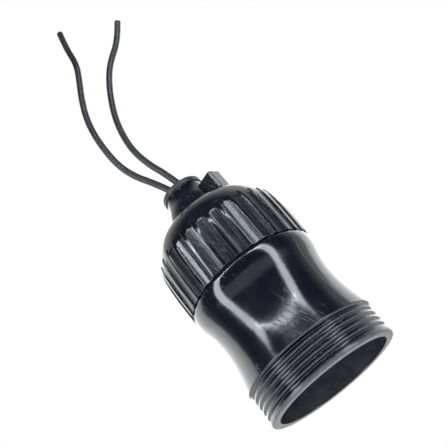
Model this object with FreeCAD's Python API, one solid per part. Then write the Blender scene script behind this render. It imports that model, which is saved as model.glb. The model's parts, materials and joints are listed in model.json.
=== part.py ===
"""Pendant lamp holder for an E27 screw-cap lamp: a ribbed cap with a neck and a hanging lug, a waisted
shell with a threaded mouth, and a contact insert fixed inside the cap and wired by two free leads.

Frame: millimetres, +Z up along the axis of the holder, origin at the centre of the mouth rim.
The holder stands on its mouth. The hanging lug is on the +X, -Y side.
"""
import FreeCAD, Part
import math
import os

V = FreeCAD.Vector
UP = V(0, 0, 1)
CENTRE = V(0, 0, 0)

# ---- the screw shell, which sets every radius outside it ----
SCREW_SHELL_R = 13.8
SCREW_SHELL_SHEET = 0.4
SCREW_SHELL_RIM = 0.9
SCREW_SHELL_FLANGE = 2.8
SHELL_FIT = 0.3
INSERT_WALL = 2.9
INSERT_GAP = 1.3
BARREL_THICK = 5.1

# ---- shell: the waisted skirt round the lamp ----
RIM_THICK = 2.75
MOUTH_BORE_DEPTH = 10.0
LIP_INSET = 0.45
LIP_HEIGHT = 1.6
LIP_ROUND = 0.7
THREAD_INSET = 0.55
THREAD_DEPTH = 0.7
THREAD_PITCH = 2.0
THREAD_TURN_DEG = -167.0
THREAD_FOOT = 0.38
THREAD_CROWN = 0.13
THREAD_SUNK = 0.2
FLARE_Z = 11.4
FLARE_STEP = 0.9
FLANK_INSET = 1.2
FLANK_Z = 17.0
WAIST_INSET = 2.2
WAIST_Z = 25.6
BREAST_INSET = 1.45
BREAST_Z = 33.7
SHOULDER_INSET = 0.3
SHOULDER_DROP = 3.7
SHOULDER_TUCK = 0.2
BORE_TAPER = 5.0

# ---- seam between the shell and the cap ----
SEAM_Z = 42.0
GASKET_THICK = 0.5
GASKET_RECESS = 0.9
SPIGOT_HEIGHT = 7.0
CAP_WALL = 2.0
SPIGOT_PLAY = 0.08

# ---- cap: flat flutes between upright ribs, under a dome ----
FLUTE_INSET = 0.5
RIB_COUNT = 30
RIB_WIDTH = 1.6
RIB_FOOT = 0.1
RIB_TOP = 19.6
RIB_SHOULDER = 10.4
RIB_SWELL = 0.2
RIB_ROOT = 1.5
RIB_START_DEG = -1.4
DOME_HEIGHT = 28.0
DOME_TOP_R = 12.0
DOME_WALL = 3.0
CAP_SKIRT = 11.0
CAP_SKIRT_LEAN = 3.4
CAP_SKIRT_RISE = 8.6

# ---- outlines of the dome and of a rib's crest, each point as (inset from the body, drop from the top) ----
DOME_OUTLINE = [(0.0, 12.9), (0.5, 10.7), (1.45, 8.0), (3.0, 5.0), (5.6, 2.0)]
RIB_OUTLINE = [(-0.08, 5.6), (0.3, 2.3), (0.95, 0.0)]

# ---- neck, lead seal and lug ----
NECK_R = 7.3
NECK_HEIGHT = 11.7
NECK_ROUND = 4.4
NECK_BORE_R = 4.8
SEAL_FLANGE_R = 7.75
SEAL_FLANGE_THICK = 2.0
SEAL_EDGE = 0.35
SEAL_PLUG_LENGTH = 9.0
SEAL_FIT = 0.05
LUG_REACH = 15.2
LUG_THICK = 6.0
LUG_HEIGHT = 7.7
LUG_TURN_DEG = -31.0
LUG_CHAMFER = 0.7
LUG_EDGE = 0.4

# ---- contact insert ----
INSERT_MOUTH_Z = 16.0
INSERT_LEDGE_Z = 35.0
INSERT_POCKET_R = 11.0
INSERT_FLOOR_Z = 39.0
INSERT_EDGE = 0.6
FIXING_OFFSET = 7.6
FIXING_R = 1.6
FIXING_HEAD_R = 2.6
FIXING_HEAD = 1.6
FIXING_SLOT = 0.7
FIXING_BITE = 9.0
FIXING_PLAY = 0.2
WASHER_THICK = 0.6
BOSS_R = 3.2

# ---- sprung centre contact ----
STEM_R = 2.2
STEM_PLAY = 0.08
BUTTON_R = 3.4
BUTTON_THICK = 1.6
CONTACT_TRAVEL = 2.0
TRAVEL_MARGIN = 0.2
GUIDE_LENGTH = 2.0
CHAMBER_TALL = 7.0
COLLAR_R = 3.6
COLLAR_THICK = 1.2
PILOT_R = 1.7
PILOT_LENGTH = 1.4
CHAMBER_R = 4.0
SPRING_WIRE = 0.6
SPRING_TURNS = 3.0
SPRING_GAP = 0.25

# ---- terminals and wiring ----
STRAP_THICK = 0.6
STRAP_WIDTH = 5.0
TERMINAL_OFFSET = 7.7
TERMINAL_LONG = 5.6
TERMINAL_WIDE = 6.0
TERMINAL_TALL = 6.5
TERMINAL_EDGE = 0.4
CLAMP_SCREW_R = 1.25
CLAMP_HEAD_R = 2.1
CLAMP_HEAD = 1.3
CLAMP_SLOT = 0.5
CLAMP_REACH = 2.6
FERRULE_R = 1.0
FERRULE_FIT = 0.1
FERRULE_STAND = 0.5
RIVET_R = 0.6
RIVET_HEAD_R = 0.95
RIVET_HEAD = 0.5
RIVET_RING_R = 12.2
SHELL_RIVET_DEG = 45.0
LEAD_R = 1.25
LEAD_FIT = 0.05
LEAD_SPACING = 3.4

# ---- places worked out from the sizes above ----
INSERT_R = SCREW_SHELL_R + SHELL_FIT + INSERT_WALL
BARREL_BORE_R = INSERT_R + INSERT_GAP
BODY_R = BARREL_BORE_R + BARREL_THICK
MOUTH_BORE_R = BODY_R - LIP_INSET - RIM_THICK
THREAD_CREST_R = BODY_R - THREAD_INSET
THREAD_ROOT_R = THREAD_CREST_R - THREAD_DEPTH
SHOULDER_R = BODY_R - SHOULDER_INSET
FLUTE_R = BODY_R - FLUTE_INSET
CAP_BORE_R = FLUTE_R - CAP_WALL
SPIGOT_R = CAP_BORE_R - SPIGOT_PLAY
SHOULDER_Z = SEAM_Z - GASKET_THICK
SPIGOT_TOP_Z = SEAM_Z + SPIGOT_HEIGHT
DOME_TOP_Z = SEAM_Z + DOME_HEIGHT
DOME_INNER_Z = DOME_TOP_Z - DOME_WALL
NECK_TOP_Z = DOME_TOP_Z + NECK_HEIGHT
SEAL_TOP_Z = NECK_TOP_Z + SEAL_FLANGE_THICK
SEAL_FOOT_Z = NECK_TOP_Z - SEAL_PLUG_LENGTH
CHAMBER_Z = INSERT_FLOOR_Z + GUIDE_LENGTH
INSERT_TOP_Z = CHAMBER_Z + CHAMBER_TALL
STRAP_TOP_Z = INSERT_TOP_Z + STRAP_THICK
TERMINAL_TOP_Z = STRAP_TOP_Z + TERMINAL_TALL
BUTTON_TOP_Z = INSERT_FLOOR_Z - CONTACT_TRAVEL - TRAVEL_MARGIN
LEAD_X = LEAD_SPACING / 2

# ---- routes of the free leads, from the top of the seal to the cut end ----
LONG_LEAD_ROUTE = [
    (-1.7, 0.0, 83.7), (-3.4, -0.2, 88.2), (-6.6, -0.6, 94.7), (-9.8, -1.0, 100.6), (-11.9, -1.5, 107.9),
    (-12.4, -1.9, 116.4), (-12.0, -2.0, 125.6), (-10.4, -1.8, 134.3), (-7.4, -1.4, 142.8),
    (-4.4, -1.0, 149.4), (-0.7, -0.4, 158.2), (0.0, 0.1, 168.2), (1.8, 0.4, 177.3)]
SHORT_LEAD_ROUTE = [
    (1.7, 0.0, 83.7), (0.8, 0.1, 87.8), (-0.8, 0.4, 94.5), (-3.0, 0.7, 101.4), (-4.5, 1.1, 110.2),
    (-3.9, 1.5, 119.6), (-1.9, 1.9, 128.6), (1.7, 2.2, 137.6), (5.8, 2.3, 145.2), (10.2, 2.3, 150.8),
    (18.0, 1.9, 156.6), (22.8, 1.4, 163.7)]


def disc(radius, low, high, at=CENTRE):
    """Upright cylinder between two heights."""
    return Part.makeCylinder(radius, high - low, V(at.x, at.y, low), UP)


def ring(outer, inner, low, high):
    """Upright plain ring between two heights."""
    return disc(outer, low, high).cut(disc(inner, low, high))


def spin(edges):
    """Solid of revolution about Z from a closed outline in the XZ plane."""
    return Part.Face(Part.Wire(edges)).revolve(CENTRE, UP, 360)


def outline(points):
    """Straight edges through points (r, z), closed back to the first."""
    ends = [V(r, 0, z) for r, z in points]
    return [Part.LineSegment(a, b).toShape() for a, b in zip(ends, ends[1:] + ends[:1])]


def chain(points):
    """Straight edges through points (r, z), left open."""
    ends = [V(r, 0, z) for r, z in points]
    return [Part.LineSegment(a, b).toShape() for a, b in zip(ends, ends[1:])]


def smooth(points):
    """One smooth edge through points (r, z)."""
    curve = Part.BSplineCurve()
    curve.interpolate([V(r, 0, z) for r, z in points])
    return curve.toShape()


def helical_ridge(root_r, crest_r, pitch, low, high, turn_deg):
    """Thread ridge with sloping flanks, wound right-handed up from low to high, its base sunk in."""
    half_crown = THREAD_CROWN * pitch
    half_root = THREAD_FOOT * pitch
    half_base = half_root + THREAD_SUNK * (half_root - half_crown) / (crest_r - root_r)
    base_r = root_r - THREAD_SUNK
    section = Part.Wire(outline([(base_r, low - half_base), (crest_r, low - half_crown),
                                 (crest_r, low + half_crown), (base_r, low + half_base)]))
    path = Part.makeHelix(pitch, high - low, root_r)
    path.translate(V(0, 0, low))
    ridge = Part.Wire(path.Edges).makePipeShell([section], True, True)
    ridge.rotate(CENTRE, UP, turn_deg)
    return ridge


def make_shell():
    """Waisted skirt with a rolled lip, a coarse thread at the mouth and a plain spigot on top."""
    side = smooth([(BODY_R, FLARE_Z), (BODY_R - FLANK_INSET, FLANK_Z), (BODY_R - WAIST_INSET, WAIST_Z),
                   (BODY_R - BREAST_INSET, BREAST_Z), (SHOULDER_R - SHOULDER_TUCK, SHOULDER_Z - SHOULDER_DROP),
                   (SHOULDER_R, SHOULDER_Z)])
    lip_r = BODY_R - LIP_INSET
    inside = chain([(SPIGOT_R, SPIGOT_TOP_Z), (BARREL_BORE_R, SPIGOT_TOP_Z),
                    (BARREL_BORE_R, MOUTH_BORE_DEPTH + BORE_TAPER), (MOUTH_BORE_R, MOUTH_BORE_DEPTH),
                    (MOUTH_BORE_R, 0), (lip_r - LIP_ROUND, 0)])
    lip_foot = Part.Arc(V(lip_r - LIP_ROUND, 0, 0), V(lip_r - 0.29 * LIP_ROUND, 0, 0.29 * LIP_ROUND),
                        V(lip_r, 0, LIP_ROUND)).toShape()
    band = chain([(lip_r, LIP_ROUND), (lip_r, LIP_HEIGHT), (THREAD_ROOT_R, LIP_HEIGHT),
                  (THREAD_ROOT_R, FLARE_Z - FLARE_STEP), (BODY_R, FLARE_Z)])
    top = chain([(SHOULDER_R, SHOULDER_Z), (SPIGOT_R, SHOULDER_Z), (SPIGOT_R, SPIGOT_TOP_Z)])
    body = spin(inside + [lip_foot] + band + [side] + top)
    thread = helical_ridge(THREAD_ROOT_R, THREAD_CREST_R, THREAD_PITCH, 0.6 * LIP_HEIGHT, FLARE_Z,
                           THREAD_TURN_DEG)
    return body.fuse(thread)


def make_gasket():
    """Flat ring in the seam, set back from the outside so that the seam reads as a dark line."""
    return ring(SHOULDER_R - GASKET_RECESS, CAP_BORE_R, SHOULDER_Z, SEAM_Z)


def make_dome():
    """Dome cut flat round its foot: one upright flat under each gap between two ribs."""
    arch = [(BODY_R - inset, DOME_TOP_Z - drop) for inset, drop in DOME_OUTLINE]
    arch.append((DOME_TOP_R, DOME_TOP_Z))
    sides = chain([arch[-1], (0, DOME_TOP_Z), (0, SEAM_Z), (BODY_R, SEAM_Z), arch[0]])
    corner_r = FLUTE_R / math.cos(math.pi / RIB_COUNT)
    turns = [2 * math.pi * n / RIB_COUNT for n in range(RIB_COUNT)]
    corners = [V(corner_r * math.cos(turn), corner_r * math.sin(turn), SEAM_Z) for turn in turns]
    prism = Part.Face(Part.makePolygon(corners + corners[:1])).extrude(V(0, 0, DOME_HEIGHT))
    prism.rotate(CENTRE, UP, RIB_START_DEG)
    return spin(sides + [smooth(arch)]).common(prism)


def make_neck():
    """Round neck with a concave foot on the flat top of the dome."""
    foot_r = NECK_R + NECK_ROUND
    arc = Part.Arc(V(foot_r, 0, DOME_TOP_Z), V(foot_r - 0.707 * NECK_ROUND, 0, DOME_TOP_Z + 0.293 * NECK_ROUND),
                   V(NECK_R, 0, DOME_TOP_Z + NECK_ROUND)).toShape()
    low = DOME_TOP_Z - DOME_WALL / 2
    sides = chain([(NECK_R, DOME_TOP_Z + NECK_ROUND), (NECK_R, NECK_TOP_Z), (0, NECK_TOP_Z), (0, low),
                   (foot_r, low), (foot_r, DOME_TOP_Z)])
    return spin([arc] + sides)


def make_lug():
    """Square lug that stands on the dome and runs in to the neck, with its outer corners bevelled."""
    foot_z = DOME_TOP_Z - DOME_WALL
    lug = Part.makeBox(LUG_REACH, LUG_THICK, DOME_TOP_Z + LUG_HEIGHT - foot_z,
                       V(0, -LUG_THICK / 2, foot_z))
    upright = [e for e in lug.Edges if e.BoundBox.XMin > LUG_REACH - 0.01 and e.BoundBox.ZLength > 1]
    lug = lug.makeChamfer(LUG_CHAMFER, upright)
    rim = [e for e in lug.Edges
           if e.BoundBox.ZMin > DOME_TOP_Z + LUG_HEIGHT - 0.01 and e.BoundBox.XMax > LUG_CHAMFER]
    lug = lug.makeChamfer(LUG_EDGE, rim)
    lug.rotate(CENTRE, UP, LUG_TURN_DEG)
    return lug


def make_ribs():
    """Narrow upright ribs that follow the wall and the foot of the dome and end square."""
    foot_z = SEAM_Z + RIB_FOOT
    shoulder_z = SEAM_Z + RIB_SHOULDER
    crest = [(BODY_R + RIB_SWELL, shoulder_z)]
    crest += [(BODY_R - inset, SEAM_Z + RIB_TOP - drop) for inset, drop in RIB_OUTLINE]
    end_r, end_z = crest[-1]
    back = chain([crest[-1], (end_r - RIB_ROOT, end_z), (BODY_R - RIB_ROOT, shoulder_z),
                  (BODY_R - RIB_ROOT, foot_z), (BODY_R, foot_z), crest[0]])
    rib = Part.Face(Part.Wire([smooth(crest)] + back)).extrude(V(0, RIB_WIDTH, 0))
    rib.translate(V(0, -RIB_WIDTH / 2, 0))
    ribs = []
    for n in range(RIB_COUNT):
        one = rib.copy()
        one.rotate(CENTRE, UP, RIB_START_DEG + n * 360 / RIB_COUNT)
        ribs.append(one)
    return ribs


def cap_hollow():
    """Space inside the cap: the bore for the spigot, then two cones up to the inside of the top."""
    skirt_z = SEAM_Z + CAP_SKIRT
    return spin(outline([(0, SEAM_Z), (CAP_BORE_R, SEAM_Z), (CAP_BORE_R, skirt_z),
                         (CAP_BORE_R - CAP_SKIRT_LEAN, skirt_z + CAP_SKIRT_RISE),
                         (DOME_TOP_R - 1, DOME_INNER_Z), (0, DOME_INNER_Z)]))


def fixing_places():
    """Axes of the two screws that hold the insert up against the bosses in the cap."""
    return [V(0, side * FIXING_OFFSET, 0) for side in (-1, 1)]


def make_cap():
    """Ribbed dome with its neck, its lug, and two bosses inside for the insert's screws."""
    hollow = cap_hollow()
    bosses = [disc(BOSS_R, INSERT_TOP_Z, DOME_TOP_Z - DOME_WALL / 2, at) for at in fixing_places()]
    pilots = [disc(FIXING_R, INSERT_TOP_Z, INSERT_TOP_Z + FIXING_BITE + 1, at) for at in fixing_places()]
    skin = make_dome().fuse([make_neck(), make_lug()] + make_ribs())
    cap = skin.cut(hollow).fuse(bosses)
    neck_bore = disc(NECK_BORE_R, DOME_INNER_Z - 1, NECK_TOP_Z)
    return cap.cut([neck_bore] + pilots)


def lead_places():
    """Axes of the two leads where they pass through the seal."""
    return [V(side * LEAD_X, 0, 0) for side in (-1, 1)]


def make_lead_seal():
    """Flanged rubber plug pressed into the neck, with a tight hole for each lead."""
    r = SEAL_FLANGE_R
    plug_r = NECK_BORE_R - SEAL_FIT
    body = spin(outline([(0, SEAL_FOOT_Z), (plug_r, SEAL_FOOT_Z), (plug_r, NECK_TOP_Z),
                         (r - SEAL_EDGE, NECK_TOP_Z), (r, NECK_TOP_Z + SEAL_EDGE),
                         (r, SEAL_TOP_Z - SEAL_EDGE), (r - SEAL_EDGE, SEAL_TOP_Z), (0, SEAL_TOP_Z)]))
    return body.cut([disc(LEAD_R + LEAD_FIT, SEAL_FOOT_Z, SEAL_TOP_Z, at) for at in lead_places()])


def make_insert():
    """Moulded insert: a deep cup for the screw shell with a pocket in its floor, under the terminal base."""
    edge = INSERT_EDGE
    cup_r = SCREW_SHELL_R + SHELL_FIT
    body = spin(outline([(0, INSERT_FLOOR_Z), (INSERT_POCKET_R, INSERT_FLOOR_Z),
                         (INSERT_POCKET_R, INSERT_LEDGE_Z), (cup_r, INSERT_LEDGE_Z), (cup_r, INSERT_MOUTH_Z),
                         (INSERT_R - edge, INSERT_MOUTH_Z), (INSERT_R, INSERT_MOUTH_Z + edge),
                         (INSERT_R, INSERT_TOP_Z), (0, INSERT_TOP_Z)]))
    cuts = [disc(STEM_R + STEM_PLAY, INSERT_FLOOR_Z, CHAMBER_Z), disc(CHAMBER_R, CHAMBER_Z, INSERT_TOP_Z)]
    cuts += [disc(FIXING_R + FIXING_PLAY, INSERT_FLOOR_Z, INSERT_TOP_Z, at) for at in fixing_places()]
    cuts += [disc(RIVET_R, INSERT_LEDGE_Z, INSERT_TOP_Z, at) for at in rivet_places()]
    return body.cut(cuts)


def make_screw_shell():
    """Thin metal sleeve for the lamp's thread, rolled out at its mouth and turned in on the ledge."""
    sheet = SCREW_SHELL_SHEET
    top = INSERT_LEDGE_Z
    low = INSERT_MOUTH_Z - sheet
    r = SCREW_SHELL_R
    sleeve = spin(outline([(r - SCREW_SHELL_FLANGE, top), (r, top), (r, low + sheet),
                           (r + SCREW_SHELL_RIM, low + sheet), (r + SCREW_SHELL_RIM, low), (r - sheet, low),
                           (r - sheet, top - sheet), (r - SCREW_SHELL_FLANGE, top - sheet)]))
    return sleeve.cut([disc(RIVET_HEAD_R, top - sheet, top, at) for at in rivet_places()])


def rivet_places():
    """Axes of the two rivets through the screw shell's turned-in flange: under the strap, and beside."""
    return [V(RIVET_RING_R * math.cos(math.radians(a)), RIVET_RING_R * math.sin(math.radians(a)), 0)
            for a in (180, SHELL_RIVET_DEG)]


def make_rivet(at, top_z):
    """Rivet through the insert, with one head flush in the screw shell's flange and one standing on top."""
    low = INSERT_LEDGE_Z - SCREW_SHELL_SHEET
    return disc(RIVET_R, low, top_z, at).fuse([disc(RIVET_HEAD_R, low, INSERT_LEDGE_Z, at),
                                               disc(RIVET_HEAD_R, top_z, top_z + RIVET_HEAD, at)])


def make_fixing_screws():
    """Two slotted screws that hold the insert up against the bosses in the cap."""
    screws = []
    head_top = INSERT_FLOOR_Z - WASHER_THICK
    head_low = head_top - FIXING_HEAD
    for at in fixing_places():
        screw = disc(FIXING_HEAD_R, head_low, head_top, at)
        screw = screw.fuse(disc(FIXING_R - FIXING_PLAY / 4, head_top, INSERT_TOP_Z + FIXING_BITE, at))
        slot = Part.makeBox(2 * FIXING_HEAD_R, FIXING_SLOT, FIXING_SLOT,
                            V(at.x - FIXING_HEAD_R, at.y - FIXING_SLOT / 2, head_low))
        screws.append(screw.cut(slot))
    return Part.makeCompound(screws)


def make_fixing_washers():
    """A flat washer under each fixing screw's head."""
    top = INSERT_FLOOR_Z
    low = top - WASHER_THICK
    washers = [disc(FIXING_HEAD_R, low, top, at).cut(disc(FIXING_R + FIXING_PLAY, low, top, at))
               for at in fixing_places()]
    return Part.makeCompound(washers)


def make_contact_button():
    """Brass button with a bevelled face that the lamp's tip presses."""
    low = BUTTON_TOP_Z - BUTTON_THICK
    bevel = 0.6 * BUTTON_THICK
    return spin(outline([(0, low), (BUTTON_R - 1.6 * bevel, low), (BUTTON_R, low + bevel),
                         (BUTTON_R, BUTTON_TOP_Z), (0, BUTTON_TOP_Z)]))


def make_contact_pin():
    """Guided pin of the centre contact, with a collar that the spring pushes down."""
    collar_top = CHAMBER_Z + COLLAR_THICK
    return disc(STEM_R, BUTTON_TOP_Z, CHAMBER_Z).fuse([disc(COLLAR_R, CHAMBER_Z, collar_top),
                                                       disc(PILOT_R, collar_top, collar_top + PILOT_LENGTH)])


def make_contact_spring():
    """Coil spring of square wire between the collar and the live strap."""
    low = CHAMBER_Z + COLLAR_THICK + SPRING_WIRE / 2
    high = INSERT_TOP_Z - SPRING_WIRE / 2
    mean_r = CHAMBER_R - SPRING_GAP - SPRING_WIRE / 2
    half = SPRING_WIRE / 2
    path = Part.makeHelix((high - low) / SPRING_TURNS, high - low, mean_r)
    path.translate(V(0, 0, low))
    section = Part.Wire(outline([(mean_r - half, low - half), (mean_r + half, low - half),
                                 (mean_r + half, low + half), (mean_r - half, low + half)]))
    return Part.Wire(path.Edges).makePipeShell([section], True, True)


def make_strap(inner_x, outer_x, holes):
    """Flat brass strip on top of the insert, along X."""
    low_x, high_x = sorted((inner_x, outer_x))
    strap = Part.makeBox(high_x - low_x, STRAP_WIDTH, STRAP_THICK, V(low_x, -STRAP_WIDTH / 2, INSERT_TOP_Z))
    upright = [e for e in strap.Edges if e.BoundBox.ZLength > STRAP_THICK / 2]
    strap = strap.makeFillet(STRAP_WIDTH / 5, upright)
    cuts = [disc(RIVET_R, INSERT_TOP_Z, STRAP_TOP_Z, at) for at in holes]
    if cuts:
        strap = strap.cut(cuts)
    return strap


def make_live_strap():
    """Strip that covers the spring chamber and carries the live terminal."""
    return make_strap(-CHAMBER_R * 0.9, TERMINAL_OFFSET + TERMINAL_LONG / 2 + 0.4, [])


def make_neutral_strap():
    """Strip that carries the neutral terminal and is riveted to the screw shell."""
    far = RIVET_RING_R + STRAP_WIDTH / 2
    return make_strap(-TERMINAL_OFFSET + TERMINAL_LONG / 2, -far, rivet_places()[:1])


def make_terminal(side):
    """Brass block on its strap, with a hole from above for the wire and a clamp screw from the side."""
    x = side * TERMINAL_OFFSET
    half = TERMINAL_LONG / 2
    block = Part.makeBox(TERMINAL_LONG, TERMINAL_WIDE, TERMINAL_TALL,
                         V(x - half, -TERMINAL_WIDE / 2, STRAP_TOP_Z))
    block = block.makeChamfer(TERMINAL_EDGE, [e for e in block.Edges if e.BoundBox.ZMin > TERMINAL_TOP_Z - 0.1])
    wire_hole = disc(FERRULE_R + FERRULE_FIT, STRAP_TOP_Z + 1, TERMINAL_TOP_Z, V(x, 0, 0))
    screw_hole = Part.makeCylinder(CLAMP_SCREW_R, TERMINAL_WIDE / 2 - FERRULE_R,
                                   V(x, -TERMINAL_WIDE / 2, (STRAP_TOP_Z + TERMINAL_TOP_Z) / 2), V(0, 1, 0))
    return block.cut([wire_hole, screw_hole])


def make_clamp_screws():
    """One slotted clamp screw in the side of each terminal."""
    screws = []
    z = (STRAP_TOP_Z + TERMINAL_TOP_Z) / 2
    back = V(0, 1, 0)
    for side in (-1, 1):
        x = side * TERMINAL_OFFSET
        face_y = -TERMINAL_WIDE / 2
        head = Part.makeCylinder(CLAMP_HEAD_R, CLAMP_HEAD, V(x, face_y - CLAMP_HEAD, z), back)
        shank = Part.makeCylinder(CLAMP_SCREW_R - 0.05, TERMINAL_WIDE / 2 - FERRULE_R, V(x, face_y, z), back)
        slot = Part.makeBox(2 * CLAMP_HEAD_R, CLAMP_SLOT, CLAMP_SLOT,
                            V(x - CLAMP_HEAD_R, face_y - CLAMP_HEAD, z - CLAMP_SLOT / 2))
        screws.append(head.fuse(shank).cut(slot))
    return Part.makeCompound(screws)


def make_ferrule(side):
    """Crimped wire end in the terminal."""
    x = side * TERMINAL_OFFSET
    return disc(FERRULE_R, STRAP_TOP_Z + 1, TERMINAL_TOP_Z + FERRULE_STAND, V(x, 0, 0))


def round_route(route):
    """Straight runs joined by tangent arcs, each as large as its two runs allow."""
    points = [V(*p) for p in route]
    edges = []
    radii = []
    last = points[0]
    for before, corner, after in zip(points, points[1:], points[2:]):
        run_in = corner - before
        run_out = after - corner
        half_turn = run_in.getAngle(run_out) / 2
        reach = 0.45 * min(run_in.Length, run_out.Length)
        radius = reach / math.tan(half_turn)
        radii.append(radius)
        way_in = V(run_in).normalize()
        way_out = V(run_out).normalize()
        start = corner - way_in * reach
        end = corner + way_out * reach
        inward = V(way_out - way_in).normalize()
        middle = corner + inward * (radius / math.cos(half_turn) - radius)
        edges.append(Part.LineSegment(last, start).toShape())
        edges.append(Part.Arc(start, middle, end).toShape())
        last = end
    edges.append(Part.LineSegment(last, points[-1]).toShape())
    return Part.Wire(edges), radii


def make_lead(name, route):
    """Round lead along its route."""
    path, radii = round_route(route)
    first = V(*route[1]) - V(*route[0])
    circle = Part.Wire(Part.makeCircle(LEAD_R, V(*route[0]), first))
    lead = path.makePipeShell([circle], True, True)
    expected = math.pi * LEAD_R ** 2 * path.Length
    print("%s: length %.1f, radii %s, volume %.2f of %.2f" % (
        name, path.Length, " ".join("%.1f" % r for r in radii), lead.Volume, expected))
    return lead


def held_route(side):
    """Route of a lead's held stretch: straight through the seal, then across to its terminal."""
    x = side * TERMINAL_OFFSET
    lead_x = side * LEAD_X
    low = TERMINAL_TOP_Z + FERRULE_STAND
    drop = SEAL_FOOT_Z - low
    return [(lead_x, 0, SEAL_TOP_Z), (lead_x, 0, SEAL_FOOT_Z - 0.28 * drop),
            (x, 0, low + 0.30 * drop), (x, 0, low)]


def save(name, shape):
    """Write one sub-part and print how many solids it has."""
    shape.exportStep("parts/%s.step" % name)
    print("%s: %d solid(s), volume %.1f, valid %s" % (name, len(shape.Solids), shape.Volume, shape.isValid()))


def main():
    os.makedirs("parts", exist_ok=True)
    neutral_rivet, shell_rivet = rivet_places()
    save("shell", make_shell())
    save("joint_gasket", make_gasket())
    save("cap", make_cap())
    save("lead_seal", make_lead_seal())
    save("insert", make_insert())
    save("screw_shell", make_screw_shell())
    save("neutral_rivet", make_rivet(neutral_rivet, STRAP_TOP_Z))
    save("shell_rivet", make_rivet(shell_rivet, INSERT_TOP_Z))
    save("fixing_screws", make_fixing_screws())
    save("fixing_washers", make_fixing_washers())
    save("contact_button", make_contact_button())
    save("contact_pin", make_contact_pin())
    save("contact_spring", make_contact_spring())
    save("live_strap", make_live_strap())
    save("neutral_strap", make_neutral_strap())
    save("live_terminal", make_terminal(1))
    save("neutral_terminal", make_terminal(-1))
    save("clamp_screws", make_clamp_screws())
    save("live_ferrule", make_ferrule(1))
    save("neutral_ferrule", make_ferrule(-1))
    save("live_lead_held", make_lead("live_lead_held", held_route(1)))
    save("neutral_lead_held", make_lead("neutral_lead_held", held_route(-1)))
    save("neutral_lead", make_lead("neutral_lead", LONG_LEAD_ROUTE))
    save("live_lead", make_lead("live_lead", SHORT_LEAD_ROUTE))


main()
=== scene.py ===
# %% [markdown]
# # Moisture-proof pendant lamp holder
# A glossy black moulded holder hangs from two short leads: a ribbed dome cap above, a waisted shell
# below that ends in a coarse thread and an open mouth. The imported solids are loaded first, as a fixed
# frame in metres. Their boxes give the main places and sizes, so that each new piece meets the solids.

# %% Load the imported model
import json
import math
import bpy
import numpy as np
from mathutils import Matrix, Vector


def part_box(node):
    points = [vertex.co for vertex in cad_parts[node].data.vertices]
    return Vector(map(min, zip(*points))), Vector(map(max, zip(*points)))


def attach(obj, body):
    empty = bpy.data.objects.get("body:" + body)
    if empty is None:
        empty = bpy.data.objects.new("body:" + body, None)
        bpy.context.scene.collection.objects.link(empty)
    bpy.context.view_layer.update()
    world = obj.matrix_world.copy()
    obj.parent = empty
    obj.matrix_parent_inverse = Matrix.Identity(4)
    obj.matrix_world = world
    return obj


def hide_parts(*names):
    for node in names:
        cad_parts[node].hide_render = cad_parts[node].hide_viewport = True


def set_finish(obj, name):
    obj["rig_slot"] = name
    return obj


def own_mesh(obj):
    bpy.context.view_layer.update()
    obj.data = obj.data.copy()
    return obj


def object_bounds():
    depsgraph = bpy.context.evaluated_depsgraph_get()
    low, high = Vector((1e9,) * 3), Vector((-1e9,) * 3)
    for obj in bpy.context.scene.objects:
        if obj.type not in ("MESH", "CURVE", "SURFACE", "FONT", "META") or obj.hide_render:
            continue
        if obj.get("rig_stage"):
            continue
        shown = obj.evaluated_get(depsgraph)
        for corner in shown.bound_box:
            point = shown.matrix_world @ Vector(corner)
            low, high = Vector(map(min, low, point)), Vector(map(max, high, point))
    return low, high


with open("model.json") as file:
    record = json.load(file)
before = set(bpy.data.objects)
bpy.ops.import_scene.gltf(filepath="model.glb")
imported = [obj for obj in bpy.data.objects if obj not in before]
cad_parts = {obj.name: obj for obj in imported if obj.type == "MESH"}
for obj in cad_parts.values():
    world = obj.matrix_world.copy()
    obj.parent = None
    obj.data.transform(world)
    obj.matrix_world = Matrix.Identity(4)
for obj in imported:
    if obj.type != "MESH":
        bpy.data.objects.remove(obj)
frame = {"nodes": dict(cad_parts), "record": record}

cad_low, cad_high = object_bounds()
scene = bpy.context.scene
MM = 0.001
print("nodes:", len(frame["nodes"]), "height in mm:", round((cad_high[2] - cad_low[2]) / MM, 1))

# %% [markdown]
# ## Camera
# The holder is seen from a little below its mouth, close by, and leans over to the left. A close
# camera makes the mouth look larger than the dome, so the place of the camera matters as much as its
# direction. Three axes laid side by side in a matrix set both at once.

# %% Camera
CAMERA_PLACE = (0.0043, -0.2141, -0.0379)
CAMERA_RIGHT = Vector((0.7729, 0.2724, -0.5732)).normalized()
CAMERA_UP = Vector((0.6346, -0.3317, 0.6980))
CAMERA_UP = (CAMERA_UP - CAMERA_UP.dot(CAMERA_RIGHT) * CAMERA_RIGHT).normalized()
SENSOR_WIDTH = 36.0
FOCAL_LENGTH = 56.4

camera = bpy.data.objects.new("camera", bpy.data.cameras.new("camera"))
scene.collection.objects.link(camera)
turned = Matrix((CAMERA_RIGHT, CAMERA_UP, CAMERA_RIGHT.cross(CAMERA_UP))).transposed().to_4x4()
camera.matrix_world = Matrix.Translation(CAMERA_PLACE) @ turned
camera.data.sensor_width = SENSOR_WIDTH
camera.data.lens = FOCAL_LENGTH
camera.data.clip_start = 0.005
camera.data.clip_end = 20.0
scene.camera = camera
camera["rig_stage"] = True
print("camera stands", round(Vector(CAMERA_PLACE).length, 3), "m from the mouth")

# %% [markdown]
# ## The two leads
# Each lead is a round plastic sheath over a copper core, cut square at its free end. A lead is stiff
# enough to keep the bends that handling gave it. A curve with a round bevel is the plain way to make
# it: a few control points pull one smooth line, and the bevel gives the line its thickness. The points
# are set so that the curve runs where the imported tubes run.

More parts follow.
